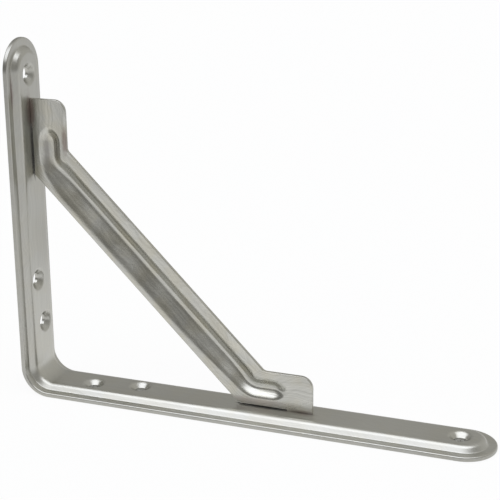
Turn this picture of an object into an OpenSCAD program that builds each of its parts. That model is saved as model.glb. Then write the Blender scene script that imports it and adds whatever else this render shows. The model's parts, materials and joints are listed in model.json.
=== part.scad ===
// Stayed shelf bracket: a pressed steel strip bent to an L, braced by a grooved plate stay.
// The wall leg stands up along +Z, the shelf leg runs out along +X and rests on z = 0.

/* [Strip] */
// Reach of the leg under the shelf, from the wall plane to its round tip
shelf_leg = 200; // [160:1:300]
// Height of the leg on the wall, from the shelf plane to its round tip
wall_leg = 150; // [146:1:260]
// Width of the strip
strip_w = 26; // [24:0.5:40]
// Thickness of the strip's sheet
strip_t = 2; // [1.2:0.1:2.4]
// Outside radius of the corner bend
corner_r = 12; // [9:0.5:18]

/* [Pressed panel] */
// Height that the middle panel is pressed up above the rim
raise = 2.6; // [2.2:0.1:3.2]
// Flat rim left beside the panel
rim_w = 3.1; // [2.4:0.1:3.6]
// Slope of the shoulder between rim and panel, in degrees
shoulder_slope = 55; // [45:1:60]
// Inside radius of the two bends in the shoulder
shoulder_r = 0.6; // [0.4:0.1:0.8]
// Thinning of the sheet where the slope is drawn out
slope_thin = 0.04; // [0.02:0.01:0.1]

/* [Screw holes] */
// Diameter of a screw hole
screw_d = 5; // [4:0.1:5.5]
// Diameter of the pressed cone at its mouth
mouth_d = 9; // [8:0.1:10]
// Thickness of the sheet in the pressed cone
cone_t = 1.5; // [1:0.1:1.8]
// Clearance between the cone's lower lip and the wall or shelf
lip_clear = 1.4; // [0.8:0.1:1.8]
// Distance of the end hole from the leg's tip
end_hole = 14.5; // [13:0.5:20]
// Distance of the inner hole from the outside of the corner
inner_hole = 28.5; // [24:0.5:34]
// Distance between the two holes near the corner
hole_pitch = 20; // [14:0.5:26]
// Sideways step of those two holes from the strip's middle line
hole_step = 1.9; // [0:0.1:2.5]

/* [Stay] */
// Thickness of the stay's sheet
stay_t = 1.5; // [1:0.1:2]
// Width of the sloping run
stay_w = 18.7; // [16:0.1:22]
// Distance of the stay's far ends from the outside of the corner
stay_end = 125.6; // [118:0.2:127]
// Height of the tabs' free edges above the wall or shelf plane
tab_reach = 20.3; // [18:0.1:23]
// Distance of the sloping run's upper edge from the corner, along either leg
slope_at = 125.3; // [116:0.1:130]
// Radius of the tabs' free corners
tab_r = 5; // [2:0.5:7]
// Length of the welded foot under each tab
foot_l = 10.8; // [6:0.2:14]
// Gap between the stay and the panel beside the foot
foot_gap = 0.5; // [0.3:0.1:1.2]

/* [Groove] */
// Depth of the groove pressed into the stay's front
groove_depth = 3; // [1.2:0.1:3.4]
// Width of the groove at the front face
groove_w = 10.4; // [8:0.2:11]
// Width of the groove's floor
groove_floor = 1.4; // [0.8:0.1:3]
// Distance of the groove's middle from the sloping run's upper edge
groove_at = 10.2; // [9:0.1:11]
// Height of the groove's middle above the wall or shelf plane in the tabs
groove_rise = 12.8; // [11.5:0.1:14]
// Radius of the groove's bends, along its middle
groove_bend = 16; // [12:0.5:20]
// Distance of the groove's round nose from the stay's far end
nose_back = 12.6; // [10:0.1:15]
// Extra depth and width of the groove in its bends, where the sheet is drawn further
bend_draw = 0.03; // [0.02:0.01:0.1]

/* [Hidden] */
$fn = 96;
// Overlap of cutting shapes past the faces that they cut
cut = 1;
steel = [0.72, 0.71, 0.68];

panel_top = raise + strip_t;
half_w = strip_w / 2;
// Shoulder: two arcs of opposite turn with a straight slope between them
bend_mid = shoulder_r + strip_t / 2;
slope_l = (raise - 2 * bend_mid * (1 - cos(shoulder_slope))) / sin(shoulder_slope);
shoulder_run = 2 * bend_mid * sin(shoulder_slope) + slope_l * cos(shoulder_slope);
panel_half = half_w - rim_w - shoulder_run;

hole_r = screw_d / 2;
mouth_r = mouth_d / 2;
// The cone is a right-angled countersink, so its depth equals its change of radius
cone_depth = mouth_r - hole_r;
cone_drop = cone_t * sqrt(2);

// Sloping run: its edges and the groove's middle are lines x + z = constant
slope_low = slope_at - stay_w * sqrt(2);
groove_line = slope_at - groove_at * sqrt(2);
stay_foot = panel_top + foot_gap;
groove_turn = groove_line - groove_rise;
bend_tangent = groove_bend * tan(22.5);
// The runs enter the bends by a length at which they still lie within the wider section
bend_lap = sqrt(groove_bend * bend_draw);
nose_x = stay_end - nose_back - groove_w / 2;
flank = atan2(groove_depth, (groove_w - groove_floor) / 2);
bulge_floor = groove_floor / 2 + stay_t * tan(flank / 2);
bulge_mouth = bulge_floor + (groove_depth + stay_t / 2) / tan(flank);

// Part of a ring of the strip's thickness, swept from angle a to angle b about the origin
module sheet_arc(a, b) {
    far = 3 * (shoulder_r + strip_t);
    intersection() {
        difference() {
            circle(r = shoulder_r + strip_t);
            circle(r = shoulder_r);
        }
        polygon([[0, 0], far * [cos(a), sin(a)], far * [cos(b), sin(b)]]);
    }
}

// Half of the strip's section: panel at the left, shoulder, rim at the right
module half_section() {
    turn = shoulder_slope;
    // Panel
    translate([0, raise]) square([panel_half, strip_t]);
    // Upper bend, turning down
    translate([panel_half, raise - shoulder_r]) sheet_arc(90 - turn, 90);
    // Lower bend, turning level again
    translate([half_w - rim_w, strip_t + shoulder_r]) sheet_arc(270 - turn, 270);
    // Straight slope between the bends, lapped a little way into both of them
    upper = [panel_half, raise - shoulder_r] + shoulder_r * [sin(turn), cos(turn)];
    lap = sqrt(shoulder_r * slope_thin) / 2;
    translate(upper) rotate(-turn) translate([-lap, slope_thin / 2])
        square([slope_l + 2 * lap, strip_t - slope_thin]);
    // Rim
    translate([half_w - rim_w, 0]) square([rim_w, strip_t]);
}

module full_section() {
    half_section();
    mirror([1, 0]) half_section();
}

// A straight leg along +X with its round tip, standing on z = 0
module leg(reach) {
    translate([corner_r, 0, 0]) rotate([90, 0, 90])
        linear_extrude(reach - half_w - corner_r) full_section();
    translate([reach - half_w, 0, 0]) rotate([0, 0, -90])
        rotate_extrude(angle = 180) half_section();
}

// Quarter turn that joins the two legs
module corner_bend() {
    translate([corner_r, 0, corner_r]) rotate([90, 0, 0]) rotate([0, 0, 180])
        rotate_extrude(angle = 90) translate([corner_r, 0]) rotate(90) full_section();
}

// Places of the screw holes along a leg; side is the way that the inner hole steps
function hole_places(reach, side) = [
    [reach - end_hole, 0],
    [inner_hole, side * hole_step],
    [inner_hole + hole_pitch, -side * hole_step]
];

// Sheet pressed down around a screw hole
module hole_cone() {
    low_r = mouth_r + lip_clear + cone_drop - panel_top;
    high = raise + strip_t / 2;
    translate([0, 0, lip_clear])
        cylinder(h = high - lip_clear, r1 = low_r, r2 = low_r + high - lip_clear);
}

// Screw hole with its countersunk mouth
module hole_cut() {
    translate([0, 0, lip_clear - cut])
        cylinder(h = panel_top, r = hole_r);
    translate([0, 0, panel_top - cone_depth])
        cylinder(h = cone_depth + cut, r1 = hole_r, r2 = mouth_r + cut);
}

module at_holes(reach, side) {
    for (place = hole_places(reach, side))
        translate([place[0], place[1], 0]) children();
}

// Turns a leg along +X into one along +Z
module upright() {
    mirror([1, 0, -1]) children();
}

module to_frame() {
    translate([-shelf_leg / 2, 0, 0]) children();
}

module leg_strip() {
    color(steel) to_frame() difference() {
        union() {
            leg(shelf_leg);
            corner_bend();
            upright() leg(wall_leg);
            at_holes(shelf_leg, -1) hole_cone();
            upright() at_holes(wall_leg, 1) hole_cone();
        }
        at_holes(shelf_leg, -1) hole_cut();
        upright() at_holes(wall_leg, 1) hole_cut();
    }
}

// Half of the stay's outline, from the middle of the slope to the tab on the shelf leg
module half_outline() {
    mid_low = slope_low / 2;
    mid_high = slope_at / 2;
    polygon([
        [mid_low, mid_low],
        [slope_low - stay_foot, stay_foot],
        [stay_end - foot_l, stay_foot],
        [stay_end - foot_l, panel_top],
        [stay_end, panel_top],
        [stay_end, tab_reach - tab_r],
        [stay_end - tab_r, tab_reach - tab_r],
        [stay_end - tab_r, tab_reach],
        [slope_at - tab_reach, tab_reach],
        [mid_high, mid_high]
    ]);
    translate([stay_end - tab_r, tab_reach - tab_r]) intersection() {
        circle(r = tab_r);
        square(tab_r + cut);
    }
}

// Section of the groove's hollow, open at the front face and wider all round by draw
module hollow_section(draw) {
    slope = (groove_w - groove_floor) / 2 / groove_depth;
    front = groove_w / 2 + cut * slope + draw;
    floor_half = groove_floor / 2 + draw;
    depth = groove_depth + draw;
    polygon([[-front, cut], [-floor_half, -depth], [floor_half, -depth], [front, cut]]);
}

// Section of the sheet that bulges out behind the groove, wider all round by draw
module bulge_section(draw) {
    mouth_half = bulge_mouth + draw;
    floor_half = bulge_floor + draw;
    depth = groove_depth + stay_t + draw;
    polygon([
        [-mouth_half, -stay_t / 2], [-floor_half, -depth],
        [floor_half, -depth], [mouth_half, -stay_t / 2]
    ]);
}

module right_half() {
    intersection() {
        children();
        translate([0, -groove_w]) square(2 * groove_w);
    }
}

// Carries a section along half of the groove, from the middle of the slope to its nose.
// The first child is the section of the runs and the nose, the second that of the bend.
module along_half_groove() {
    mid = [groove_line / 2, groove_line / 2];
    bend_in = [groove_turn - bend_tangent / sqrt(2), groove_rise + bend_tangent / sqrt(2)];
    bend_out = [groove_turn + bend_tangent, groove_rise];
    // Run down the slope
    translate(mid) rotate([0, 0, -45]) rotate([90, 0, 90])
        linear_extrude(norm(bend_in - mid) + bend_lap) children(0);
    // Bend
    translate(bend_out + [0, groove_bend]) rotate([0, 0, 225])
        rotate_extrude(angle = 45) translate([groove_bend, 0]) children(1);
    // Run in the tab, from the nose back to the bend
    translate([nose_x, groove_rise]) rotate([90, 0, -90])
        linear_extrude(nose_x - bend_out[0] + bend_lap) children(0);
    // Round nose
    translate([nose_x, groove_rise]) rotate([0, 0, -90])
        rotate_extrude(angle = 180) right_half() children(0);
}

// Adds the mirror image across the bracket's 45 degree line
module both_halves() {
    children();
    mirror([1, -1, 0]) children();
}

module grooved_stay() {
    color(steel) to_frame() rotate([90, 0, 0]) translate([0, 0, stay_t / 2]) difference() {
        union() {
            both_halves() translate([0, 0, -stay_t]) linear_extrude(stay_t) half_outline();
            both_halves() along_half_groove() {
                bulge_section(0);
                bulge_section(bend_draw);
            }
        }
        both_halves() along_half_groove() {
            hollow_section(0);
            hollow_section(bend_draw);
        }
    }
}

leg_strip();
grooved_stay();
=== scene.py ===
import json
from math import atan2, cos, hypot, pi, radians, sin, sqrt, tan

import bmesh
import bpy
from mathutils import Matrix, Vector
from mathutils.geometry import delaunay_2d_cdt


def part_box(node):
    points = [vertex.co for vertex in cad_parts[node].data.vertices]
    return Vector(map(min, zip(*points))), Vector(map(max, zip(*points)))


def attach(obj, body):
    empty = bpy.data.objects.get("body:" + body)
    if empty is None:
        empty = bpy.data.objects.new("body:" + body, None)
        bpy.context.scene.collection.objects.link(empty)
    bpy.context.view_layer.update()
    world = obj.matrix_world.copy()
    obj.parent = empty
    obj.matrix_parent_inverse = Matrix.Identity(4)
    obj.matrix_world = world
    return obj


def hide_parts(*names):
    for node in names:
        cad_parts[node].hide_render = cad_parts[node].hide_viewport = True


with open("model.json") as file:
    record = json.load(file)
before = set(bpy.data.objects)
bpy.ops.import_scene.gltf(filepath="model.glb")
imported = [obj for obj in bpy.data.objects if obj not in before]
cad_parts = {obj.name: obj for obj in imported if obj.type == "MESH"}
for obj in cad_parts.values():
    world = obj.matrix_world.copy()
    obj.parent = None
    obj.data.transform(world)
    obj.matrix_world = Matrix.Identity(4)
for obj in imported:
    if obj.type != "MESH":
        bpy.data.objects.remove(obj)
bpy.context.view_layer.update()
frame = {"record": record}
mm = 0.001  # the settings below are in millimetres, Blender works in metres

stripLow, stripHigh = (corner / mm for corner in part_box("leg_strip"))
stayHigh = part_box("grooved_stay")[1] / mm
cornerX = stripLow.x  # the outside of the bracket's corner, where both legs are measured from
print("frame loaded, strip", [round(v, 1) for v in stripHigh - stripLow], "mm")


# Camera, where the shot was taken from
shot = {
    "round": 20.77,  # degrees to the right of straight in front
    "above": 17.97,  # degrees above the shelf plane
    "roll": -0.47,
    "away": 527.7,
    "aim": (-0.87, 0, 71.0),
    "lens": 96.56,
    "sensor": 36,
    "clip": (0.01, 20),  # metres
}


def setCamera():
    turn, lift, roll = (radians(shot[key]) for key in ("round", "above", "roll"))
    back = Vector((sin(turn) * cos(lift), -cos(turn) * cos(lift), sin(lift)))
    level = Vector((cos(turn), sin(turn), 0))
    upright = back.cross(level)
    right = level * cos(roll) + upright * sin(roll)
    up = upright * cos(roll) - level * sin(roll)
    data = bpy.data.cameras.new("shot")
    data.lens = shot["lens"]
    data.sensor_width = shot["sensor"]
    data.clip_start, data.clip_end = shot["clip"]
    camera = bpy.data.objects.new("shot", data)
    place = Matrix((right, up, back)).transposed().to_4x4()
    place.translation = (Vector(shot["aim"]) + back * shot["away"]) * mm
    camera.matrix_world = place
    bpy.context.scene.collection.objects.link(camera)
    bpy.context.scene.camera = camera


setCamera()
print("camera set")


# Node helpers
def addNode(tree, kind, **settings):
    made = tree.nodes.new("ShaderNode" + kind)
    for key, value in settings.items():
        setattr(made, key, value)
    return made


def link(tree, source, target):
    tree.links.new(source, target)


def put(tree, value, socket):
    # a socket is linked, a plain value is set
    if isinstance(value, bpy.types.NodeSocket):
        link(tree, value, socket)
    else:
        socket.default_value = value


def maths(tree, operation, *values):
    node = addNode(tree, "Math", operation=operation)
    for value, socket in zip(values, node.inputs):
        put(tree, value, socket)
    return node.outputs[0]


def stretched(tree, source, scale, detail):
    # noise over coordinates in millimetres
    sized = addNode(tree, "VectorMath", operation="MULTIPLY")
    link(tree, source, sized.inputs[0])
    sized.inputs[1].default_value = scale
    noise = addNode(tree, "TexNoise")
    noise.inputs["Scale"].default_value = 1
    noise.inputs["Detail"].default_value = detail
    link(tree, sized.outputs[0], noise.inputs["Vector"])
    return noise.outputs["Fac"]


def ranged(tree, value, start, end, low, high, kind="SMOOTHSTEP"):
    node = addNode(tree, "MapRange", interpolation_type=kind)
    link(tree, value, node.inputs["Value"])
    for key, level in (("From Min", start), ("From Max", end), ("To Min", low), ("To Max", high)):
        put(tree, level, node.inputs[key])
    return node.outputs["Result"]


def markMask(tree, place, mark, ragged):
    # soft oval round a point, with an uneven edge
    moved = addNode(tree, "VectorMath", operation="SUBTRACT")
    link(tree, place, moved.inputs[0])
    moved.inputs[1].default_value = mark["at"]
    sized = addNode(tree, "VectorMath", operation="DIVIDE")
    link(tree, moved.outputs[0], sized.inputs[0])
    sized.inputs[1].default_value = mark["size"]
    away = addNode(tree, "VectorMath", operation="LENGTH")
    link(tree, sized.outputs[0], away.inputs[0])
    edge = maths(tree, "ADD", away.outputs["Value"], ragged)
    return ranged(tree, edge, 1 + mark["soft"] / 2, 1 - mark["soft"], 0, mark["amount"])


def inMillimetres(tree):
    where = addNode(tree, "TexCoord")
    sized = addNode(tree, "VectorMath", operation="SCALE")
    link(tree, where.outputs["Object"], sized.inputs[0])
    sized.inputs["Scale"].default_value = 1 / mm
    return sized.outputs[0]


def mixedLevel(tree, share, a, b):
    node = addNode(tree, "Mix", data_type="FLOAT")
    for value, key in ((share, "Factor"), (a, "A"), (b, "B")):
        put(tree, value, node.inputs[key])
    return node.outputs["Result"]


def mixedTone(tree, share, a, b):
    # the colour sockets come after the plain number ones
    node = addNode(tree, "Mix", data_type="RGBA")
    put(tree, share, node.inputs["Factor"])
    for tone, socket in ((a, node.inputs[6]), (b, node.inputs[7])):
        put(tree, tone + (1,) if isinstance(tone, tuple) else tone, socket)
    return node.outputs[2]


# Studio: a pale floor and a soft sky with a wide light overhead
studio = {
    "floorSize": 12000,
    "floorDrop": 0.02,  # keeps the floor just clear of the rims
    "floorTone": 0.93,
    "floorGlow": 0.92,  # share of the floor that stays white where a shadow falls
    "overhead": 2.05,
    "lampTint": (0.965, 0.985, 1.05),
    "roomTint": (1.0, 0.99, 0.945),
    "lampLean": (-0.15, -0.14, 1),
    "lampEdge": (0.64, 0.8),
    "lampBack": (0.28, -0.15),  # the light ends above the bracket and doesn't reach behind it
    "front": (0.24, 0.33),  # behind the camera, left and right
    "rear": (0.4, 0.6),  # behind the bracket, left and right
    "pool": (-120, -120, 0),  # where the floor is lightest in the metal
    "poolReach": 620,
    "poolLevel": (0.98, 0.7),
    "sideSpan": 0.5,  # how far left and right, and front to back, the room's tone changes
    "depthSpan": 0.6,
    "legShade": {"across": (8, 11), "along": (92, 97)},  # where the dark under the shelf leg fades out
    "holeShade": {"size": (9, 9, 100), "amount": 1, "soft": 0.6},
    "cards": [
        # dark cards beside the camera and behind, a white one to the right, as the metal sees them
        {"at": (295, -290, 0), "size": (115, 95, 100), "amount": 1, "soft": 0.8, "level": 0.42},
        {"at": (330, 60, 0), "size": (170, 150, 100), "amount": 1, "soft": 0.8, "level": 1.1},
        {"at": (10, 190, 0), "size": (60, 45, 100), "amount": 1, "soft": 0.9, "level": 0.6},
    ],
}


def makeFloor():
    half = studio["floorSize"] * mm / 2
    drop = -studio["floorDrop"] * mm
    mesh = bpy.data.meshes.new("floor")
    mesh.from_pydata([(-half, -half, drop), (half, -half, drop), (half, half, drop), (-half, half, drop)],
                     [], [(0, 1, 2, 3)])
    floor = bpy.data.objects.new("floor", mesh)
    bpy.context.scene.collection.objects.link(floor)
    paint = bpy.data.materials.new("paleFloor")
    paint.use_nodes = True
    tree = paint.node_tree
    tree.nodes.clear()
    out = addNode(tree, "OutputMaterial")
    matt = addNode(tree, "BsdfDiffuse")
    matt.inputs["Color"].default_value = (studio["floorTone"],) * 3 + (1,)
    glow = addNode(tree, "Emission")
    seen = addNode(tree, "LightPath")
    # the metal sees a floor that is lightest in front and falls off further out
    place = inMillimetres(tree)
    away = addNode(tree, "VectorMath", operation="DISTANCE")
    link(tree, place, away.inputs[0])
    away.inputs[1].default_value = studio["pool"]
    level = ranged(tree, away.outputs["Value"], 0, studio["poolReach"], *studio["poolLevel"])
    for card in studio["cards"]:
        level = mixedLevel(tree, markMask(tree, place, card, 0), level, card["level"])
    put(tree, mixedLevel(tree, seen.outputs["Is Camera Ray"], level, 1), glow.inputs["Strength"])
    # no glow where the camera looks down through the holes, nor close round them in the metal
    split = addNode(tree, "SeparateXYZ")
    link(tree, place, split.inputs[0])
    shade = studio["legShade"]
    inWidth = ranged(tree, maths(tree, "ABSOLUTE", split.outputs["Y"]), *shade["across"], 1, 0)
    inLength = ranged(tree, maths(tree, "ABSOLUTE", split.outputs["X"]), *shade["along"], 1, 0)
    inside = maths(tree, "MULTIPLY", inWidth, inLength)
    inside = maths(tree, "MULTIPLY", inside, seen.outputs["Is Camera Ray"])
    for mount in frame["record"]["mounts"]:
        if mount["name"].startswith("shelf_hole"):
            under = dict(studio["holeShade"], at=tuple(v / mm for v in mount["pos_m"]))
            inside = maths(tree, "MAXIMUM", inside, markMask(tree, place, under, 0))
    sight = maths(tree, "MAXIMUM", seen.outputs["Is Camera Ray"], seen.outputs["Is Glossy Ray"])
    sight = maths(tree, "MAXIMUM", sight, seen.outputs["Is Transmission Ray"])
    glowing = maths(tree, "MULTIPLY_ADD", inside, -studio["floorGlow"], studio["floorGlow"])
    share = maths(tree, "MULTIPLY", sight, glowing)
    mix = addNode(tree, "MixShader")
    link(tree, share, mix.inputs[0])
    link(tree, matt.outputs[0], mix.inputs[1])
    link(tree, glow.outputs[0], mix.inputs[2])
    # from below the floor is clear, so that the underside can be looked at
    facing = addNode(tree, "NewGeometry")
    clear = addNode(tree, "BsdfTransparent")
    oneSided = addNode(tree, "MixShader")
    link(tree, facing.outputs["Backfacing"], oneSided.inputs[0])
    link(tree, mix.outputs[0], oneSided.inputs[1])
    link(tree, clear.outputs[0], oneSided.inputs[2])
    link(tree, oneSided.outputs[0], out.inputs["Surface"])
    mesh.materials.append(paint)


def makeSky():
    world = bpy.data.worlds.new("studio")
    bpy.context.scene.world = world
    world.use_nodes = True
    tree = world.node_tree
    tree.nodes.clear()
    out = addNode(tree, "OutputWorld")
    sky = addNode(tree, "Background")
    where = addNode(tree, "TexCoord")
    split = addNode(tree, "SeparateXYZ")
    link(tree, where.outputs["Generated"], split.inputs[0])
    # low band: dim behind the camera, brighter behind the bracket and to its right
    side, depth = studio["sideSpan"], studio["depthSpan"]
    rear = ranged(tree, split.outputs["X"], -side, side, *studio["rear"], kind="LINEAR")
    front = ranged(tree, split.outputs["X"], -side, side, *studio["front"], kind="LINEAR")
    room = ranged(tree, split.outputs["Y"], -depth, depth, front, rear)
    # wide light overhead, hung towards the front and the left
    lean = addNode(tree, "VectorMath", operation="DOT_PRODUCT")
    link(tree, where.outputs["Generated"], lean.inputs[0])
    lean.inputs[1].default_value = studio["lampLean"]
    lamp = ranged(tree, lean.outputs["Value"], *studio["lampEdge"], 0, 1)
    lit = maths(tree, "MULTIPLY", lamp, ranged(tree, split.outputs["Y"], *studio["lampBack"], 0, 1))
    put(tree, mixedLevel(tree, lit, room, studio["overhead"]), sky.inputs["Strength"])
    put(tree, mixedTone(tree, lit, studio["roomTint"], studio["lampTint"]), sky.inputs["Color"])
    # the camera sees plain white
    seen = addNode(tree, "LightPath")
    surround = addNode(tree, "Background")
    surround.inputs["Color"].default_value = (1, 1, 1, 1)
    chosen = addNode(tree, "MixShader")
    link(tree, seen.outputs["Is Camera Ray"], chosen.inputs[0])
    link(tree, sky.outputs[0], chosen.inputs[1])
    link(tree, surround.outputs[0], chosen.inputs[2])
    link(tree, chosen.outputs[0], out.inputs["Surface"])


bpy.context.scene.view_settings.view_transform = "Standard"
makeFloor()
makeSky()
print("studio ready")


# Mesh helpers: a skin gathers patches of points with their true normals
weldGap = 0.002  # points closer than this become one


def newSkin():
    return {"points": [], "normals": [], "grain": [], "faces": []}


def addPoint(skin, point, normal, grain):
    skin["points"].append(Vector(point) * mm)
    skin["normals"].append(Vector(normal).normalized())
    skin["grain"].append(Vector(grain))
    return len(skin["points"]) - 1


def addRows(skin, rows, closed=False):
    # rows hold the point numbers of a net, closed when each row runs all the way round
    for near, far in zip(rows, rows[1:]):
        count = len(near)
        for i in range(count if closed else count - 1):
            j = (i + 1) % count
            skin["faces"].append((near[i], near[j], far[j], far[i]))


def makePiece(name, skin, material, node):
    mesh = bpy.data.meshes.new(name)
    net = bmesh.new()
    grainLayer = net.verts.layers.float_vector.new("grain")
    normalLayer = net.loops.layers.float_vector.new("trueNormal")
    verts = []
    for point, grain in zip(skin["points"], skin["grain"]):
        vert = net.verts.new(point)
        vert[grainLayer] = grain
        verts.append(vert)
    for numbers in skin["faces"]:
        face = net.faces.new([verts[n] for n in numbers])
        face.smooth = True
        for corner, n in zip(face.loops, numbers):
            corner[normalLayer] = skin["normals"][n]
    bmesh.ops.remove_doubles(net, verts=net.verts, dist=weldGap * mm)
    bmesh.ops.recalc_face_normals(net, faces=net.faces)
    loose = sum(1 for edge in net.edges if len(edge.link_faces) != 2)
    net.to_mesh(mesh)
    net.free()
    kept = mesh.attributes["trueNormal"]
    mesh.normals_split_custom_set([tuple(item.vector) for item in kept.data])
    mesh.attributes.remove(mesh.attributes["trueNormal"])
    mesh.materials.append(material)
    piece = bpy.data.objects.new(name, mesh)
    bpy.context.scene.collection.objects.link(piece)
    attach(piece, "root")
    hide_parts(node)
    print(name, len(mesh.polygons), "faces,", loose, "open edges")
    return piece


# Leg strip: one pressed sheet, bent to an L
strip = {
    "sheet": 2.0,
    "raise": 2.6,
    "rim": 3.1,
    "shoulderSlope": radians(55),
    "shoulderRadius": 0.6,
    "cornerRadius": 12,
    "edgeRadius": 0.6,
    "coneSheet": 1.5,
    "lipClear": 1.4,
    "mouthWidth": 9.0,
    "mouthSoft": 0.75,  # how widely the mouth of a pressed hole rolls over
    "holeRings": (2.5, 2.8, 3.1, 3.45, 3.8, 4.15, 4.5, 4.85, 5.2, 5.5, 5.8, 6.1),
    "blendRings": 16,
    "cornerSteps": 28,
    "tipSteps": 48,
    "edgeSteps": 4,
    "columnStep": 1.0,
    "plainStep": 6,  # columns lie further apart where there are no holes
    "panelRows": 7,
    "bendRows": 8,
    "slopeRows": 2,
    "rimRows": 4,
    "tipPatch": 1.3,  # start of the tip's patch before its hole, in halves of the hole pitch
    "cutMark": 5,  # third grain number on a cut edge, where a face has 0
}
halfWidth = (stripHigh.y - stripLow.y) / 2
panelTop = strip["raise"] + strip["sheet"]
bendMid = strip["shoulderRadius"] + strip["sheet"] / 2
slopeRun = strip["raise"] - 2 * bendMid * (1 - cos(strip["shoulderSlope"]))
shoulderRun = 2 * bendMid * sin(strip["shoulderSlope"]) + slopeRun / tan(strip["shoulderSlope"])
valley = halfWidth - strip["rim"]
panelHalf = valley - shoulderRun
rimEnd = halfWidth - strip["edgeRadius"]


def bendRadii(upper):
    # radii of the shoulder's two bends, on the inner face or on the back
    tight, wide = strip["shoulderRadius"], strip["shoulderRadius"] + strip["sheet"]
    return (wide, tight) if upper else (tight, wide)


def sectionHeight(offset, upper):
    high, low = bendRadii(upper)
    highMiddle = strip["raise"] - strip["shoulderRadius"]
    lowMiddle = strip["sheet"] + strip["shoulderRadius"]
    slopeStart = panelHalf + high * sin(strip["shoulderSlope"])
    slopeEnd = valley - low * sin(strip["shoulderSlope"])
    if offset <= panelHalf:
        return highMiddle + high
    if offset <= slopeStart:
        return highMiddle + sqrt(high ** 2 - (offset - panelHalf) ** 2)
    if offset <= slopeEnd:
        start = highMiddle + high * cos(strip["shoulderSlope"])
        return start - (offset - slopeStart) * tan(strip["shoulderSlope"])
    if offset <= valley:
        return lowMiddle - sqrt(low ** 2 - (offset - valley) ** 2)
    return lowMiddle - low


def softMin(a, b, width):
    share = min(max(0.5 + 0.5 * (b - a) / width, 0), 1)
    return b + (a - b) * share - width * share * (1 - share)


def faceHeight(leg, along, across, upper):
    past = max(along - leg["tipMiddle"], 0)
    height = sectionHeight(hypot(past, across), upper)
    for holeAlong, holeAcross in leg["holes"]:
        away = hypot(along - holeAlong, across - holeAcross)
        cone = panelTop - strip["mouthWidth"] / 2 + away
        if not upper:
            cone = max(cone - strip["coneSheet"] * sqrt(2), strip["lipClear"])
        if away < strip["mouthWidth"]:
            height = softMin(height, cone, strip["mouthSoft"])
    return height


def faceNormal(leg, along, across, upper):
    step = 0.01
    tiltAlong = faceHeight(leg, along + step, across, upper) - faceHeight(leg, along - step, across, upper)
    tiltAcross = faceHeight(leg, along, across + step, upper) - faceHeight(leg, along, across - step, upper)
    normal = Vector((-tiltAlong, -tiltAcross, 2 * step)).normalized()
    return normal if upper else -normal


def toLeg(leg, point):
    # along, across, height becomes x, y, z; the wall leg stands up
    along, across, height = point
    return (height, across, along) if leg["wall"] else (along, across, height)


def shifted(point):
    return (point[0] + cornerX, point[1], point[2])


def legPoint(skin, leg, along, across, upper):
    point = (along, across, faceHeight(leg, along, across, upper))
    normal = faceNormal(leg, along, across, upper)
    return addPoint(skin, shifted(toLeg(leg, point)), toLeg(leg, normal), (leg["way"] * along, across, 0))


def spread(start, end, steps):
    return [start + (end - start) * i / steps for i in range(steps + 1)]


def halfRows(upper):
    # rows from the panel's middle to past the holes' mouths, and on from there to the edge
    high, low = bendRadii(upper)
    slopeStart = panelHalf + high * sin(strip["shoulderSlope"])
    slopeEnd = valley - low * sin(strip["shoulderSlope"])
    bend = strip["bendRows"]
    lowBend = spread(slopeEnd, valley, bend)
    panel = spread(0, panelHalf, strip["panelRows"]) + spread(panelHalf, slopeStart, bend)[1:]
    slope = spread(slopeStart, slopeEnd, strip["slopeRows"])
    rim = spread(valley, rimEnd, strip["rimRows"])[1:]
    if upper:
        return panel, slope + lowBend[1:] + rim
    middle = bend // 2  # on the back a hole's patch ends half way round the low bend
    return panel + slope[1:] + lowBend[1:middle + 1], lowBend[middle:] + rim


def bothSides(half):
    return [-y for y in half[:0:-1]] + half


def acrossRows(upper):
    panel, margin = halfRows(upper)
    return bothSides(panel + margin[1:])


def plainRun(skin, leg, start, end, upper):
    steps = max(1, round((end - start) / strip["plainStep"]))
    rows = acrossRows(upper)
    addRows(skin, [[legPoint(skin, leg, u, y, upper) for y in rows] for u in spread(start, end, steps)])
    return spread(start, end, steps)


def holePatch(skin, leg, hole, loop, upper):
    # rings round a pressed hole, from its bore out to the patch's border
    middle = Vector(hole)
    spokes = [(Vector(point) - middle).normalized() for point in loop]
    rings = [[middle + spoke * r for spoke in spokes] for r in strip["holeRings"]]
    last = rings[-1]
    for share in spread(0, 1, strip["blendRings"])[1:]:
        rings.append([a.lerp(Vector(b), share) for a, b in zip(last, loop)])
    rows = [[legPoint(skin, leg, p.x, p.y, upper) for p in ring] for ring in rings]
    addRows(skin, rows, closed=True)


def boreWall(skin, leg, hole, loops):
    # the rings on the two faces have their own counts of points, so they are joined by angle
    rims = []
    radius = strip["holeRings"][0]
    for loop, upper in zip(loops, (True, False)):
        rim = []
        for point in loop:
            spoke = (Vector(point) - Vector(hole)).normalized()
            at = Vector(hole) + spoke * radius
            place = (at.x, at.y, faceHeight(leg, at.x, at.y, upper))
            number = addPoint(skin, shifted(toLeg(leg, place)), toLeg(leg, (-spoke.x, -spoke.y, 0)),
                              (leg["way"] * at.x, at.y, 0))
            rim.append((atan2(spoke.y, spoke.x), number))
        rim.sort()
        rims.append(rim + [(rim[0][0] + 2 * pi, rim[0][1])])
    top, bottom = rims
    i = j = 0
    while i + 1 < len(top) or j + 1 < len(bottom):
        if j + 1 == len(bottom) or (i + 1 < len(top) and top[i + 1][0] <= bottom[j + 1][0]):
            skin["faces"].append((top[i][1], top[i + 1][1], bottom[j][1]))
            i += 1
        else:
            skin["faces"].append((top[i][1], bottom[j + 1][1], bottom[j][1]))
            j += 1


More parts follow.
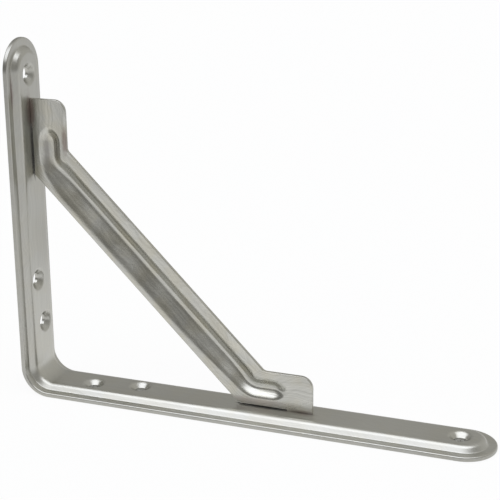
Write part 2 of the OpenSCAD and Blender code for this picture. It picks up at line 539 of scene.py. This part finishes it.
def edgeProfile():
    # outward step, height and normal round the sheet's edge, from the inner face to the back
    radius, sheet, steps = strip["edgeRadius"], strip["sheet"], strip["edgeSteps"]
    profile = []
    for angle in spread(pi / 2, 0, steps):
        profile.append((radius * cos(angle), sheet - radius + radius * sin(angle), cos(angle), sin(angle)))
    for angle in spread(0, -pi / 2, steps):
        profile.append((radius * cos(angle), radius + radius * sin(angle), cos(angle), sin(angle)))
    return profile


def sideMargins(skin, leg, columns, upper):
    # the shoulder and rim on both sides of a hole patch
    margin = halfRows(upper)[1]
    for side in (-1, 1):
        addRows(skin, [[legPoint(skin, leg, u, side * y, upper) for y in margin] for u in columns])


def tipMargin(skin, leg, upper):
    rows = []
    for angle in spread(-pi / 2, pi / 2, strip["tipSteps"]):
        rows.append([legPoint(skin, leg, leg["tipMiddle"] + r * cos(angle), r * sin(angle), upper)
                     for r in halfRows(upper)[1]])
    addRows(skin, rows)


def squareLoop(start, end, upper):
    panel = halfRows(upper)[0]
    rows, edge = bothSides(panel), panel[-1]
    columns = spread(start, end, round((end - start) / strip["columnStep"]))
    loop = [(end, y) for y in rows] + [(u, edge) for u in columns[-2::-1]]
    return loop + [(start, y) for y in rows[-2::-1]] + [(u, -edge) for u in columns[1:-1]], columns


def tipLoop(leg, start, upper):
    panel = halfRows(upper)[0]
    rows, edge = bothSides(panel), panel[-1]
    columns = spread(start, leg["tipMiddle"], round((leg["tipMiddle"] - start) / strip["columnStep"]))
    turns = spread(-pi / 2, pi / 2, strip["tipSteps"])
    arc = [(leg["tipMiddle"] + edge * cos(turn), edge * sin(turn)) for turn in turns]
    loop = arc + [(u, edge) for u in columns[-2::-1]] + [(start, y) for y in rows[-2::-1]]
    return loop + [(u, -edge) for u in columns[1:-1]], columns


def buildLeg(skin, leg):
    endHole, innerHole, outerHole = leg["holes"]
    half = (outerHole[0] - innerHole[0]) / 2
    tipStart = endHole[0] - strip["tipPatch"] * half
    stops = [strip["cornerRadius"], innerHole[0] - half, innerHole[0] + half, outerHole[0] + half, tipStart]
    border = []
    for upper in (True, False):
        border = plainRun(skin, leg, stops[0], stops[1], upper)
    loops = {hole: [] for hole in leg["holes"]}
    for hole, start, end in ((innerHole, stops[1], stops[2]), (outerHole, stops[2], stops[3])):
        for upper in (True, False):
            loop, columns = squareLoop(start, end, upper)
            holePatch(skin, leg, hole, loop, upper)
            sideMargins(skin, leg, columns, upper)
            loops[hole].append(loop)
        border += columns[1:]
    for upper in (True, False):
        columns = plainRun(skin, leg, stops[3], stops[4], upper)
    border += columns[1:]
    for upper in (True, False):
        loop, columns = tipLoop(leg, tipStart, upper)
        holePatch(skin, leg, endHole, loop, upper)
        sideMargins(skin, leg, columns, upper)
        tipMargin(skin, leg, upper)
        loops[endHole].append(loop)
    border += columns[1:]
    for hole, pair in loops.items():
        boreWall(skin, leg, hole, pair)
    # rounded edge all the way round the leg
    way = [(u, -rimEnd, 0, -1) for u in border]
    for angle in spread(-pi / 2, pi / 2, strip["tipSteps"])[1:-1]:
        way.append((leg["tipMiddle"] + rimEnd * cos(angle), rimEnd * sin(angle), cos(angle), sin(angle)))
    way += [(u, rimEnd, 0, 1) for u in border[::-1]]
    rows = []
    for along, across, outAlong, outAcross in way:
        row = []
        for step, height, out, up in edgeProfile():
            place = (along + outAlong * step, across + outAcross * step, height)
            normal = (outAlong * out, outAcross * out, up)
            row.append(addPoint(skin, shifted(toLeg(leg, place)), toLeg(leg, normal),
                                (leg["way"] * along, across + outAcross * step, strip["cutMark"] * out)))
        rows.append(row)
    addRows(skin, rows)


def buildCorner(skin):
    radius = strip["cornerRadius"]
    flatLeg = {"holes": [], "tipMiddle": 1e6}  # no holes, and no tip within reach

    def bent(turn, across, height, normal, cutEdge=0):
        # turn runs from the shelf leg to the wall leg round the bend's axis
        reach = radius - height
        inward = Vector((sin(turn), 0, cos(turn)))
        point = (radius - reach * sin(turn), across, radius - reach * cos(turn))
        along = radius - radius * turn * 2 / (pi / 2)
        return addPoint(skin, shifted(point), inward * normal[1] + Vector((0, normal[0], 0)),
                        (along, across, strip["cutMark"] * cutEdge))

    turns = spread(0, pi / 2, strip["cornerSteps"])
    for upper in (True, False):
        rows = []
        for turn in turns:
            row = []
            for y in acrossRows(upper):
                normal = faceNormal(flatLeg, 0, y, upper)
                row.append(bent(turn, y, sectionHeight(abs(y), upper), (normal.y, normal.z)))
            rows.append(row)
        addRows(skin, rows)
    for side in (-1, 1):
        rows = []
        for turn in turns:
            rows.append([bent(turn, side * (rimEnd + step), height, (side * out, up), out)
                         for step, height, out, up in edgeProfile()])
        addRows(skin, rows)


def boreAt(name, wall):
    mount = next(m for m in frame["record"]["mounts"] if m["name"] == name)
    x, y, z = (v / mm for v in mount["pos_m"])
    return (z if wall else x - cornerX, y)


def buildStrip(material):
    skin = newSkin()
    reaches = {"shelf": stripHigh.x - stripLow.x, "wall": stripHigh.z}
    for name, reach in reaches.items():
        wall = name == "wall"
        holes = [boreAt(name + "_hole_" + which, wall) for which in ("end", "inner", "outer")]
        leg = {"wall": wall, "tipMiddle": reach - halfWidth, "holes": holes, "way": -1 if wall else 1}
        buildLeg(skin, leg)
    buildCorner(skin)
    return makePiece("pressedStrip", skin, material, "leg_strip")


# Stay: a flat plate with a groove pressed along it
stay = {
    "sheet": 1.5,
    "width": 18.7,
    "tabReach": 20.3,
    "slopeAt": 125.3,
    "tabRadius": 5,
    "footLength": 10.8,
    "footGap": 0.5,
    "insideRadius": 2.5,
    "heelRadius": 1,
    "footRadius": 0.2,
    "edgeRadius": 0.22,
    "edgeSteps": 4,
    "grooveAt": 10.2,  # from the slope's upper edge to the groove's middle
    "grooveRise": 12.7,  # from the leg's back to the groove's middle in a tab
    "grooveBend": 9,
    "upFade": (9, 9),  # how far past the tab the groove swells: its upper side, shelf tab and wall tab
    "downFade": (45, 14),
    "depthFade": (20, 14),
    "tabHalf": 4.1,
    "slopeUp": 5.4,
    "slopeDown": 6.3,
    "slopeShift": 0.6,
    "slopeDepth": 3.7,
    "tabDepth": (2.5, 2.6),  # shelf tab, wall tab
    "noseBack": (11.3, 12.4),
    "noseLong": (1.65, 1.3),
    "floorShare": (0.29, 0.17),  # flat floor, share of the half width: in a tab, on the slope
    "floorSoft": (0.22, 0.15),
    "mouthSoft": (0.24, 0.28),
    "rings": 34,
    "runStep": 2.5,
    "bendSteps": 14,
    "noseSteps": 40,
    "firstRings": (0.01, 0.03),  # innermost rings, share of the half width
    "arcStep": 6,  # degrees
    "sharpTurn": 20,  # degrees, a corner that turns more than this keeps a crisp edge
}
stayEnd = stayHigh.z


def rounded(points):
    # points carry their corner radius; round corners become arcs
    outline = []
    for i, (x, z, radius) in enumerate(points):
        at = Vector((x, z))
        before = (Vector(points[i - 1][:2]) - at).normalized()
        after = (Vector(points[(i + 1) % len(points)][:2]) - at).normalized()
        if radius == 0:
            outline.append(at)
            continue
        half = before.angle(after) / 2
        middle = at + (before + after).normalized() * radius / sin(half)
        start = at + before * radius / tan(half) - middle
        end = at + after * radius / tan(half) - middle
        sweep = start.angle_signed(end)
        steps = max(3, round(abs(sweep) / radians(stay["arcStep"])))
        for share in spread(0, 1, steps):
            turn = -sweep * share
            outline.append(middle + Vector((start.x * cos(turn) - start.y * sin(turn),
                                            start.x * sin(turn) + start.y * cos(turn))))
    return outline


def stayOutline():
    low = stay["slopeAt"] - stay["width"] * sqrt(2)
    foot = panelTop + stay["footGap"]
    inner = stayEnd - stay["footLength"]
    half = [
        (low - foot, foot, stay["heelRadius"]),
        (inner, foot, stay["footRadius"]),
        (inner, panelTop, 0),
        (stayEnd, panelTop, 0),
        (stayEnd, stay["tabReach"], stay["tabRadius"]),
        (stay["slopeAt"] - stay["tabReach"], stay["tabReach"], stay["insideRadius"]),
    ]
    return rounded(half + [(z, x, radius) for x, z, radius in half[::-1]])


def smooth(share):
    share = min(max(share, 0), 1)
    return share * share * (3 - 2 * share)


def mixed(a, b, share):
    return a + (b - a) * share


def halfPath(end):
    # from a tab's nose to the middle of the slope: place, direction across, distance past the tab
    line = stay["slopeAt"] - stay["grooveAt"] * sqrt(2)
    rise, bend = stay["grooveRise"], stay["grooveBend"]
    turn = line - rise + bend * tan(pi / 8)  # where the run in the tab meets the bend
    nose = stayEnd - stay["noseBack"][end] - stay["tabHalf"] * stay["noseLong"][end]
    path = []
    for x in spread(nose, turn, max(2, round((nose - turn) / stay["runStep"])))[:-1]:
        path.append((Vector((x, rise)), Vector((0, 1)), 0))
    hub = Vector((turn, rise + bend))
    for angle in spread(0, pi / 4, stay["bendSteps"]):
        out = Vector((-sin(angle), -cos(angle)))
        path.append((hub + out * bend, -out, bend * angle))
    start, across, _ = path[-1]
    middle = Vector((line / 2, line / 2))
    length = (middle - start).length
    for share in spread(0, 1, round(length / stay["runStep"]))[1:]:
        path.append((start.lerp(middle, share), across, bend * pi / 4 + length * share))
    return path


def grooveStations():
    stations = []
    for end in (0, 1):
        half = []
        for p, n, past in halfPath(end):
            if end == 1:
                p, n = Vector((p.y, p.x)), Vector((n.y, n.x))
            up, down, deep = (smooth(past / stay[key][end]) for key in ("upFade", "downFade", "depthFade"))
            section = tuple(mixed(*stay[key], deep) for key in ("floorShare", "floorSoft", "mouthSoft"))
            half.append({
                "at": p + n * stay["slopeShift"] * up,
                "across": n,
                "up": mixed(stay["tabHalf"], stay["slopeUp"], up),
                "down": mixed(stay["tabHalf"], stay["slopeDown"], down),
                "depth": mixed(stay["tabDepth"][end], stay["slopeDepth"], deep),
                "section": section,
            })
        stations = half if end == 0 else stations + half[-2::-1]
    return stations


def grooveDrop(reach, section):
    # share of the depth at a share of the half width: floor, straight flank and mouth, softly joined
    floor, floorSoft, mouthSoft = section
    fall = 1 / (1 - floor)
    if reach <= floor - floorSoft:
        return 1
    if reach <= floor + floorSoft:
        return 1 - fall * (reach - floor + floorSoft) ** 2 / (4 * floorSoft)
    if reach <= 1 - mouthSoft:
        return fall * (1 - reach)
    if reach <= 1 + mouthSoft:
        return fall * (1 + mouthSoft - reach) ** 2 / (4 * mouthSoft)
    return 0


def grooveRing(stations, reach):
    # one closed line round the groove at a share of its half width, on the plate's front
    def placed(station, flat):
        drop = station["depth"] * grooveDrop(reach, station["section"])
        return Vector((flat.x, drop - stay["sheet"] / 2, flat.y))

    def cap(station, along, end):
        side, line = station["across"], []
        for angle in spread(0, pi, stay["noseSteps"])[1:-1]:
            out = side * cos(angle) + along * sin(angle) * stay["noseLong"][end]
            line.append(placed(station, station["at"] + out * reach * station["up"]))
        return line

    upper = [placed(st, st["at"] + st["across"] * reach * st["up"]) for st in stations]
    lower = [placed(st, st["at"] - st["across"] * reach * st["down"]) for st in stations]
    wallCap = cap(stations[-1], Vector((0, 1)), 1)
    shelfCap = cap(stations[0], Vector((1, 0)), 0)
    return upper + wallCap + lower[::-1] + shelfCap[::-1]


def grooveNet():
    # rings from the groove's middle out to the flat plate, with the normal at each point
    tight, start = stay["firstRings"]
    reaches = [tight] + spread(start, 1 + max(stay["mouthSoft"]), stay["rings"])
    stations = grooveStations()
    rings = [grooveRing(stations, reach) for reach in reaches]
    count = len(rings[0])
    normals = []
    for k, ring in enumerate(rings):
        inner, outer = rings[max(k - 1, 0)], rings[min(k + 1, len(rings) - 1)]
        row = []
        for i in range(count):
            along = ring[(i + 1) % count] - ring[i - 1]
            normal = along.cross(outer[i] - inner[i]).normalized()
            row.append(normal if normal.y < 0 else -normal)
        normals.append(row)
    normals[-1] = [Vector((0, -1, 0))] * count
    return rings, normals, len(stations)


def followGroove():
    # middle line of the groove with the distance run along it, for the streaks to follow
    line, run = [], 0
    stations = grooveStations()
    for i, station in enumerate(stations):
        at = station["at"]
        if i > 0:
            run += (at - stations[i - 1]["at"]).length
        line.append((at, station["across"], run))
    return line


grooveLine = followGroove()


def stayGrain(point):
    flat = Vector((point.x, point.z))
    at, side, run = min(grooveLine, key=lambda item: (item[0] - flat).length)
    off = flat - at
    return (run + off.dot(Vector((-side.y, side.x))), off.dot(side), point.y)


def stayPoint(skin, point, normal):
    grain = stayGrain(point)
    return addPoint(skin, (point.x + cornerX, point.y, point.z), normal, grain)


def grooveFace(skin, net, back):
    rings, normals, count = net
    rows = []
    for ring, row in zip(rings, normals):
        if back:
            rows.append([stayPoint(skin, p - n * stay["sheet"], -n) for p, n in zip(ring, row)])
        else:
            rows.append([stayPoint(skin, p, n) for p, n in zip(ring, row)])
    addRows(skin, rows, closed=True)
    # middle of the floor, between the two sides of the first ring
    first, caps = rows[0], stay["noseSteps"] - 1
    upper, lower = first[:count], first[count + caps:2 * count + caps][::-1]
    addRows(skin, [upper, lower])
    skin["faces"].append(tuple(first[count - 1:count + caps + 1]))
    skin["faces"].append(tuple(first[2 * count + caps - 1:] + first[:1]))


def flatMargin(skin, outline, ring, back):
    # the flat plate between the groove and the outline
    rim = [Vector((p.x, p.z)) for p in ring]
    flat = outline + rim
    first, last = len(outline), len(flat)
    edges = [(i, (i + 1) % first) for i in range(first)]
    edges += [(i, i + 1 if i + 1 < last else first) for i in range(first, last)]
    around = [list(range(first)), list(range(first, last))]
    points, _, faces, _, _, within = delaunay_2d_cdt(flat, edges, around, 1, 1e-6)
    side = 1 if back else -1
    numbers = [stayPoint(skin, Vector((p.x, side * stay["sheet"] / 2, p.y)), (0, side, 0)) for p in points]
    for face, inside in zip(faces, within):
        if 1 not in inside:
            skin["faces"].append(tuple(numbers[n] for n in face))


def insetOutline(outline, step):
    moved = []
    for i, at in enumerate(outline):
        before = (at - outline[i - 1]).normalized()
        after = (outline[(i + 1) % len(outline)] - at).normalized()
        sideA, sideB = Vector((before.y, -before.x)), Vector((after.y, -after.x))
        mitre = (sideA + sideB) / (1 + sideA.dot(sideB))
        moved.append((at - mitre * step, mitre, sideA, sideB))
    return moved


def stayEdge(skin, border):
    radius, half = stay["edgeRadius"], stay["sheet"] / 2
    profile = []
    for angle in spread(-pi / 2, 0, stay["edgeSteps"]):
        profile.append((radius * cos(angle), -half + radius + radius * sin(angle), cos(angle), sin(angle)))
    for angle in spread(0, pi / 2, stay["edgeSteps"]):
        profile.append((radius * cos(angle), half - radius + radius * sin(angle), cos(angle), sin(angle)))
    count = len(border)
    gentle = cos(radians(stay["sharpTurn"]))
    for i in range(count):
        here, there = border[i], border[(i + 1) % count]
        rows = []
        for (at, mitre, sideA, sideB), facing in ((here, here[3]), (there, there[2])):
            side = (sideA + sideB).normalized() if sideA.dot(sideB) > gentle else facing
            row = []
            for step, y, out, up in profile:
                p = at + mitre * step
                row.append(stayPoint(skin, Vector((p.x, y, p.y)), (side.x * out, up, side.y * out)))
            rows.append(row)
        addRows(skin, rows)


def buildStay(material):
    skin = newSkin()
    outline = stayOutline()
    area = sum(a.x * b.y - b.x * a.y for a, b in zip(outline, outline[1:] + outline[:1]))
    if area < 0:
        outline.reverse()  # run anticlockwise, so that the outside is on the right
    border = insetOutline(outline, stay["edgeRadius"])
    inset = [item[0] for item in border]
    net = grooveNet()
    for back in (False, True):
        grooveFace(skin, net, back)
        flatMargin(skin, inset, net[0][-1], back)
    stayEdge(skin, border)
    return makePiece("groovedStay", skin, material, "grooved_stay")


# Finishes: bright pressed steel with rolling streaks, weld marks where the stay's feet sit, painted shade
# in the gaps under the feet and in the stay's grooves, and a painted glint on the wall tab
steelTone = (0.527, 0.524, 0.488)
warmSteel = (0.525, 0.51, 0.445)
weldBrown = (0.12, 0.085, 0.072)
heatBrown = (0.3, 0.22, 0.2)
# painted shade: near black for the narrow gaps under the stay's feet
paintedGapShade = (0.02, 0.016, 0.014)
# painted glint: a light colour standing in for a highlight
paintedGlint = (0.74, 0.735, 0.69)
stripFinish = {
    "roughness": (0.27, 0.35),
    "streakSize": (160, 0.45),  # length and width of the rolling streaks
    "streakTone": 0.05,
    "streakHeight": 0.0016,
    "scratchTone": 0.02,
    "blotchSize": 34,
    "blotchTone": 0.03,
    "warmShare": 0.35,
    "waveSize": 14,
    "waveHeight": 0.014,
    "edgeTone": 0.84,
    "marks": [
        # middle, half sizes, colour, amount and softness; from the frame's origin
        # painted shade on the panels in the gaps under the stay's two feet
        dict(at=(5, 0, 4.6), size=(12.5, 1.0, 1.2), tone=paintedGapShade, amount=0.95, soft=0.2),
        dict(at=(-95.4, 0, 104), size=(1.2, 0.9, 12.5), tone=paintedGapShade, amount=0.9, soft=0.3),
        dict(at=(20.5, -1.0, 4.6), size=(6.5, 1.2, 1.5), tone=weldBrown, amount=0.5, soft=0.8),
        dict(at=(23, -2.2, 4.6), size=(3.5, 1.8, 1.5), tone=(0.22, 0.16, 0.14), amount=0.35, soft=0.9),
        dict(at=(-95.4, -1.7, 120), size=(1.5, 2.1, 7.5), tone=heatBrown, amount=0.65, soft=0.9),
        # a darker grey band on the wall panel in front of the stay's foot
        dict(at=(-95.4, -3.3, 110), size=(1.5, 3.4, 17), tone=(0.2, 0.2, 0.175), amount=0.55, soft=0.5),
        dict(at=(-98, -10.2, 129), size=(0.8, 0.9, 7), tone=(0.2, 0.12, 0.12), amount=0.6, soft=0.8),
    ],
}
stayFinish = {
    "roughness": (0.19, 0.3),
    "streakSize": (60, 0.8),
    "streakTone": 0.1,
    "streakHeight": 0.0016,
    "scratchTone": 0.05,
    "blotchSize": 13,
    "blotchTone": 0.06,
    "warmShare": 0.9,
    "waveSize": 11,
    "waveHeight": 0.01,
    "edgeTone": 1,
    "marks": [
        # painted shade on the stay's lower edges in the gaps above the panels
        dict(at=(5, 0, 5.1), size=(12, 1, 0.35), tone=paintedGapShade, amount=0.9, soft=0.3),
        dict(at=(-94.9, 0, 104), size=(0.35, 1, 12), tone=paintedGapShade, amount=0.9, soft=0.3),
        dict(at=(20.5, -0.75, 4.8), size=(6, 1, 0.9), tone=weldBrown, amount=0.5, soft=0.8),
        dict(at=(-95.0, -0.75, 120), size=(1.7, 1, 6.8), tone=heatBrown, amount=0.6, soft=0.6),
        # darker brown along the wall tab's outer edge
        dict(at=(-80.4, -0.75, 109), size=(1.3, 1.2, 6), tone=(0.2, 0.13, 0.11), amount=0.55, soft=0.6),
        # painted shade: dark lines along the lower flank of the shelf tab's groove
        dict(at=(8.5, 1.2, 10.9), size=(6, 1.2, 0.35), tone=(0.2, 0.19, 0.165), amount=0.65, soft=0.9),
        dict(at=(10.5, 0.6, 10.1), size=(4, 1.2, 0.25), tone=(0.24, 0.23, 0.2), amount=0.6, soft=0.9),
        # painted shade inside the wall tab's groove, on its side towards the wall leg
        dict(at=(-89.6, 0.6, 103), size=(1.2, 1.6, 9), tone=(0.3, 0.285, 0.27), amount=0.6, soft=0.9),
        # painted glint on the wall tab's front near its outer edge
        dict(at=(-80.1, -0.75, 117.5), size=(0.5, 0.9, 3), tone=paintedGlint, amount=0.7, soft=0.8),
        dict(at=(2, -0.75, 6.8), size=(14, 0.9, 1.6), tone=(0.47, 0.4, 0.37), amount=0.5, soft=0.9),
    ],
}


rolling = {
    # shared by both finishes; scales are per millimetre
    "wanderScale": 0.07,
    "wander": 5,  # how far the streaks wander to the side
    "noiseSpan": (0.3, 0.7),
    "scratchSpan": (0.35, 0.65),
    "scratchSlant": 28,  # degrees from the streaks
    "scratchSize": (14, 0.4),
    "warmthScale": 0.11,
    "warmthSpan": (0.4, 0.65),
    "raggedScale": 0.7,
    "ragged": 0.5,  # unevenness of a mark's edge
    "markDull": 0.2,  # a mark is rougher than the steel round it
    "cutSpan": (3.5, 4.8),
}


def toned(tree, noise, span, amount):
    return ranged(tree, noise, *span, 1 - amount, 1 + amount)


def steelFinish(name, finish):
    material = bpy.data.materials.new(name)
    material.use_nodes = True
    tree = material.node_tree
    shader = tree.nodes["Principled BSDF"]
    shader.inputs["Metallic"].default_value = 1
    grain = addNode(tree, "Attribute", attribute_name="grain").outputs["Vector"]
    place = inMillimetres(tree)
    length, width = finish["streakSize"]
    # streaks wander a little to the side
    drift = stretched(tree, place, (rolling["wanderScale"],) * 3, 2)
    bend = maths(tree, "MULTIPLY_ADD", drift, rolling["wander"], -rolling["wander"] / 2)
    aside = addNode(tree, "CombineXYZ")
    link(tree, bend, aside.inputs["Y"])
    wander = addNode(tree, "VectorMath", operation="ADD")
    link(tree, grain, wander.inputs[0])
    link(tree, aside.outputs[0], wander.inputs[1])
    streak = stretched(tree, wander.outputs[0], (1 / length, 1 / width, 1 / width), 4)
    blotch = stretched(tree, place, (1 / finish["blotchSize"],) * 3, 3)
    wave = stretched(tree, place, (1 / finish["waveSize"],) * 3, 1)
    # tone: streaks and blotches round the plain steel, then the marks over it
    streakTone = toned(tree, streak, rolling["noiseSpan"], finish["streakTone"])
    blotchTone = toned(tree, blotch, rolling["noiseSpan"], finish["blotchTone"])
    # fine scratches lie across the streaks at a slant
    slanted = addNode(tree, "VectorRotate", rotation_type="Z_AXIS")
    link(tree, grain, slanted.inputs["Vector"])
    slanted.inputs["Angle"].default_value = radians(rolling["scratchSlant"])
    long, wide = rolling["scratchSize"]
    scratch = stretched(tree, slanted.outputs[0], (1 / long, 1 / wide, 1 / wide), 3)
    scratchTone = toned(tree, scratch, rolling["scratchSpan"], finish["scratchTone"])
    level = maths(tree, "MULTIPLY", maths(tree, "MULTIPLY", streakTone, blotchTone), scratchTone)
    # the cut edges are duller than the rolled faces
    depth = addNode(tree, "SeparateXYZ")
    link(tree, grain, depth.inputs[0])
    edgeTone = ranged(tree, depth.outputs["Z"], *rolling["cutSpan"], 1, finish["edgeTone"])
    level = maths(tree, "MULTIPLY", level, edgeTone)
    warmth = stretched(tree, place, (rolling["warmthScale"],) * 3, 2)
    warmShare = ranged(tree, warmth, *rolling["warmthSpan"], 0, finish["warmShare"])
    tone = addNode(tree, "VectorMath", operation="SCALE")
    link(tree, mixedTone(tree, warmShare, steelTone, warmSteel), tone.inputs[0])
    link(tree, level, tone.inputs["Scale"])
    colour = tone.outputs[0]
    uneven = stretched(tree, place, (rolling["raggedScale"],) * 3, 2)
    ragged = maths(tree, "MULTIPLY_ADD", uneven, rolling["ragged"], -rolling["ragged"] / 2)
    dull = ranged(tree, blotch, *rolling["noiseSpan"], *finish["roughness"])
    for mark in finish["marks"]:
        mask = markMask(tree, place, mark, ragged)
        colour = mixedTone(tree, mask, colour, mark["tone"])
        dull = maths(tree, "MULTIPLY_ADD", mask, rolling["markDull"], dull)
    link(tree, colour, shader.inputs["Base Color"])
    link(tree, dull, shader.inputs["Roughness"])
    height = maths(tree, "MULTIPLY", streak, finish["streakHeight"] * mm)
    swell = maths(tree, "MULTIPLY", wave, finish["waveHeight"] * mm)
    bump = addNode(tree, "Bump")
    bump.inputs["Distance"].default_value = 1
    link(tree, maths(tree, "ADD", height, swell), bump.inputs["Height"])
    link(tree, bump.outputs["Normal"], shader.inputs["Normal"])
    return material


buildStrip(steelFinish("stripSteel", stripFinish))
buildStay(steelFinish("staySteel", stayFinish))
print("pieces built")
